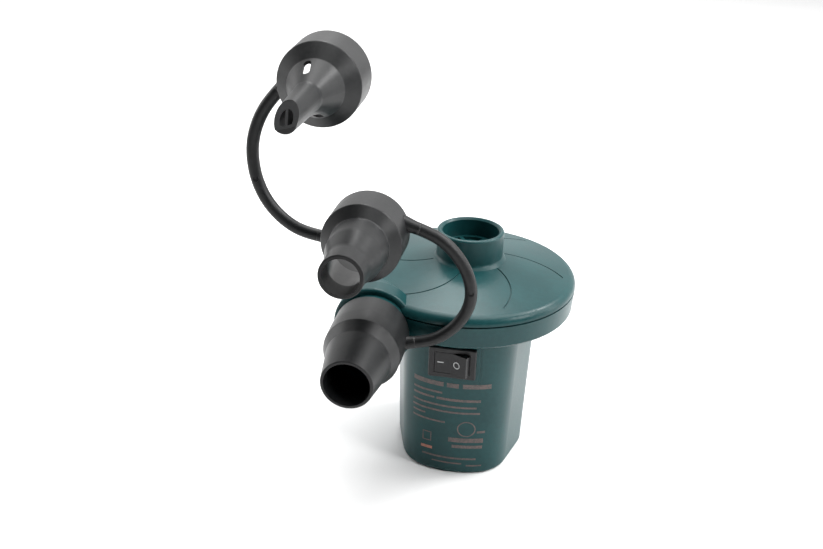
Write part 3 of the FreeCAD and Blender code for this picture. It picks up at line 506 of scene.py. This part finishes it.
def bar_tree():
    """A tree that stands a flat bar on every point of a mesh, sized by the point's wide and high."""
    tree = bpy.data.node_groups.new("printed_bars", "GeometryNodeTree")
    face = tree.interface
    face.new_socket("Places", in_out="INPUT", socket_type="NodeSocketGeometry")
    face.new_socket("Bars", in_out="OUTPUT", socket_type="NodeSocketGeometry")
    for label, kind in (("Cells across", "NodeSocketInt"), ("Cells up", "NodeSocketInt"),
                        ("Ink", "NodeSocketMaterial")):
        face.new_socket(label, in_out="INPUT", socket_type=kind)
    new, link = tree.nodes.new, tree.links.new
    start = new("NodeGroupInput")
    grid = new("GeometryNodeMeshGrid")
    grid.inputs["Size X"].default_value = 1.0
    grid.inputs["Size Y"].default_value = 1.0
    link(start.outputs["Cells across"], grid.inputs["Vertices X"])
    link(start.outputs["Cells up"], grid.inputs["Vertices Y"])
    sizes = []
    for label in ("wide", "high"):
        read = new("GeometryNodeInputNamedAttribute")
        read.data_type = "FLOAT"
        read.inputs["Name"].default_value = label
        sizes.append(read.outputs["Attribute"])
    scale = new("ShaderNodeCombineXYZ")
    link(sizes[0], scale.inputs["X"])
    link(sizes[1], scale.inputs["Y"])
    scale.inputs["Z"].default_value = 1.0
    stand = new("GeometryNodeInstanceOnPoints")
    stand.inputs["Rotation"].default_value = (math.pi / 2, 0, 0)
    link(start.outputs["Places"], stand.inputs["Points"])
    link(grid.outputs["Mesh"], stand.inputs["Instance"])
    link(scale.outputs["Vector"], stand.inputs["Scale"])
    solid = new("GeometryNodeRealizeInstances")
    link(stand.outputs["Instances"], solid.inputs["Geometry"])
    paint = new("GeometryNodeSetMaterial")
    link(solid.outputs["Geometry"], paint.inputs["Geometry"])
    link(start.outputs["Ink"], paint.inputs["Material"])
    end = new("NodeGroupOutput")
    link(paint.outputs["Geometry"], end.inputs["Bars"])
    return tree


BARS = bar_tree()


def bar_sheet(bars, ink, across=25, up=3):
    """Flat bars in the XZ plane from (middle x, middle z, width, height) in millimetres."""
    mesh = bpy.data.meshes.new("places")
    mesh.from_pydata([(bar[0] * MM, 0, bar[1] * MM) for bar in bars], [], [])
    for label, column in (("wide", 2), ("high", 3)):
        values = mesh.attributes.new(label, "FLOAT", "POINT")
        values.data.foreach_set("value", [bar[column] * MM for bar in bars])
    places = linked("places", mesh)
    modifier = places.modifiers.new("bars", "NODES")
    modifier.node_group = BARS
    inputs = {item.name: item.identifier for item in BARS.interface.items_tree if item.in_out == "INPUT"}
    modifier[inputs["Cells across"]] = across
    modifier[inputs["Cells up"]] = up
    modifier[inputs["Ink"]] = ink
    graph = bpy.context.evaluated_depsgraph_get()
    sheet = bpy.data.meshes.new_from_object(places.evaluated_get(graph))
    bpy.data.objects.remove(places)
    bpy.data.meshes.remove(mesh)
    return sheet


def ring_sheet(rings, ink, corners=48):
    """Flat rings in the XZ plane: middle x, middle z, outer radius and width in millimetres, up-stretch."""
    mesh = bpy.data.meshes.new("rings")
    points, faces = [], []
    for x, z, outer, width, stretch in rings:
        first = len(points)
        for k in range(corners):
            turn = FULL_TURN * (k + 0.5) / corners
            for radius in (outer, outer - width):
                across, up = radius * math.cos(turn), radius * stretch * math.sin(turn)
                points.append(((x + across) * MM, 0, (z + up) * MM))
            n = (k + 1) % corners
            faces.append((first + 2 * k, first + 2 * n, first + 2 * n + 1, first + 2 * k + 1))
    mesh.from_pydata(points, [], faces)
    mesh.materials.append(ink)
    return mesh


def printed(name, sheet, target, body, lift=0.00006, sink=0.00012):
    """Lays a flat sheet on a surface along +Y, and gives it a thin closed body that is sunk into it."""
    way = Vector((0, 1, 0))
    ahead = 0.1
    points = [v.co.copy() for v in sheet.vertices]
    faces = [list(face.vertices) for face in sheet.polygons]
    count = len(points)
    hits = [target.ray_cast(point - way * ahead, way)[0] for point in points]
    tops = [hit - way * lift for hit in hits]
    feet = [hit + way * sink for hit in hits]
    uses = {}
    for face in faces:
        for a, b in zip(face, face[1:] + face[:1]):
            uses[frozenset((a, b))] = uses.get(frozenset((a, b)), []) + [(a, b)]
    walls = [(b, a, a + count, b + count) for edges in uses.values() if len(edges) == 1 for a, b in edges]
    solid = bpy.data.meshes.new(name)
    solid.from_pydata(tops + feet, [], faces + [[i + count for i in reversed(f)] for f in faces] + walls)
    solid.materials.append(sheet.materials[len(sheet.materials) - 1])
    bpy.data.meshes.remove(sheet)
    piece = linked(name, outward(solid))
    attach(piece, body)
    return piece


# bars stand for the lines of print: middle x, middle z, width and height in millimetres
HOUSING_SKIN = surface_of("main_housing")
ROCKER_SKIN = surface_of("switch_rocker")
HEADING = [(-11.6, 48.3, 14.0, 2.3), (-0.4, 48.3, 5.4, 2.3), (10.3, 48.3, 12.4, 2.3)]
ROWS = [(-11.8, 43.7, 13.6, 1.1), (-13.6, 40.6, 10.0, 1.1), (2.4, 40.6, 20.0, 1.3), (-4.0, 36.9, 29.4, 1.0),
        (-3.2, 33.9, 31.2, 1.0), (-15.6, 31.1, 6.0, 0.9), (-10.9, 28.0, 15.4, 0.9), (13.3, 23.7, 3.6, 1.2),
        (6.6, 18.9, 15.8, 2.4), (7.4, 15.3, 13.8, 1.7), (-0.8, 8.4, 25.2, 1.0), (-1.6, 5.6, 14.0, 0.8),
        (11.0, 4.6, 7.0, 0.8), (-11.4, 20.9, 4.2, 0.5), (-11.4, 16.2, 4.2, 0.5)]
POSTS = [(-13.3, 18.5, 0.5, 4.2), (-9.5, 18.5, 0.5, 4.2)]
FRONT_PRINT = {
    "front_heading": bar_sheet(HEADING, INK),
    "front_rows": bar_sheet(ROWS + POSTS, INK),
    "front_ring": ring_sheet([(6.7, 25.2, 4.2, 0.55, 1.0)], INK),
    "front_orange_bar": bar_sheet([(-11.4, 12.4, 5.4, 1.5)], ORANGE_INK),
}
ROCKER_PRINT = {
    "rocker_dash": bar_sheet([(-6.2, 60.9, 2.9, 0.42)], WHITE_INK),
    "rocker_ring": ring_sheet([(1.0, 60.6, 1.45, 0.36, 1.15)], WHITE_INK),
}
for name, sheet in FRONT_PRINT.items():
    printed(name, sheet, HOUSING_SKIN, "housing")
for name, sheet in ROCKER_PRINT.items():
    printed(name, sheet, ROCKER_SKIN, "rocker")


# ---------------------------------------------------------------- floor and light
def make_floor():
    """A wide pale matt floor at the height of the object's foot."""
    finish = Finish("pale_floor")
    cloud = finish.noise(3.0, 2.0)
    material = finish.done({"Base Color": finish.mixed(cloud, (0.80, 0.80, 0.80), (0.82, 0.82, 0.82)),
                            "Roughness": 0.85 + cloud * 0.05}, {"Specular IOR Level": 0.2})
    mesh = bpy.data.meshes.new("floor")
    reach = 12.0
    mesh.from_pydata([(-reach, -reach, 0), (reach, -reach, 0), (reach, reach, 0), (-reach, reach, 0)],
                     [], [(0, 1, 2, 3)])
    mesh.materials.append(material)
    linked("floor", mesh)


def softbox(name, place, aim, width, height, power):
    """A rectangular soft light at place that shines at aim; power is in watts."""
    data = bpy.data.lights.new(name, "AREA")
    data.shape = "RECTANGLE"
    data.size = width
    data.size_y = height
    data.energy = power
    light = bpy.data.objects.new(name, data)
    way = Vector(aim) - Vector(place)
    light.matrix_world = Matrix.Translation(place) @ way.to_track_quat("-Z", "Y").to_matrix().to_4x4()
    scene.collection.objects.link(light)


def make_sky():
    """A pale surround, brighter behind the object and at its sides than in front."""
    world = bpy.data.worlds.new("surround")
    world.use_nodes = True
    tree = world.node_tree
    tree.nodes.clear()
    way = tree.nodes.new("ShaderNodeTexCoord")
    parts = tree.nodes.new("ShaderNodeSeparateXYZ")
    span = tree.nodes.new("ShaderNodeMapRange")
    span.interpolation_type = "SMOOTHSTEP"
    for socket, value in (("From Min", -0.5), ("From Max", 0.6), ("To Min", 0.06), ("To Max", 1.3)):
        span.inputs[socket].default_value = value
    back = tree.nodes.new("ShaderNodeBackground")
    back.inputs["Color"].default_value = (1, 1, 1, 1)
    end = tree.nodes.new("ShaderNodeOutputWorld")
    tree.links.new(way.outputs["Generated"], parts.inputs[0])
    tree.links.new(parts.outputs["Y"], span.inputs["Value"])
    tree.links.new(span.outputs["Result"], back.inputs["Strength"])
    tree.links.new(back.outputs["Background"], end.inputs["Surface"])
    scene.world = world


make_floor()
make_sky()
softbox("overhead", (0.1, 0.15, 1.5), (0, 0, 0.1), 1.5, 1.2, 28)
softbox("left_side", (-1.2, 0.3, 0.5), (0, 0, 0.1), 0.3, 0.8, 4)
softbox("right_front", (0.95, -0.35, 0.75), (-0.03, -0.05, 0.12), 0.30, 0.45, 7)
softbox("right_side", (1.2, 0.25, 0.5), (0, 0, 0.08), 0.35, 0.9, 5.5)
softbox("upper_right", (0.78, 0.38, 1.02), (-0.04, -0.07, 0.18), 0.28, 0.28, 9)
softbox("behind", (-0.15, 0.80, 1.10), (-0.03, -0.08, 0.10), 0.30, 0.22, 3.5)
scene.view_settings.view_transform = "Standard"
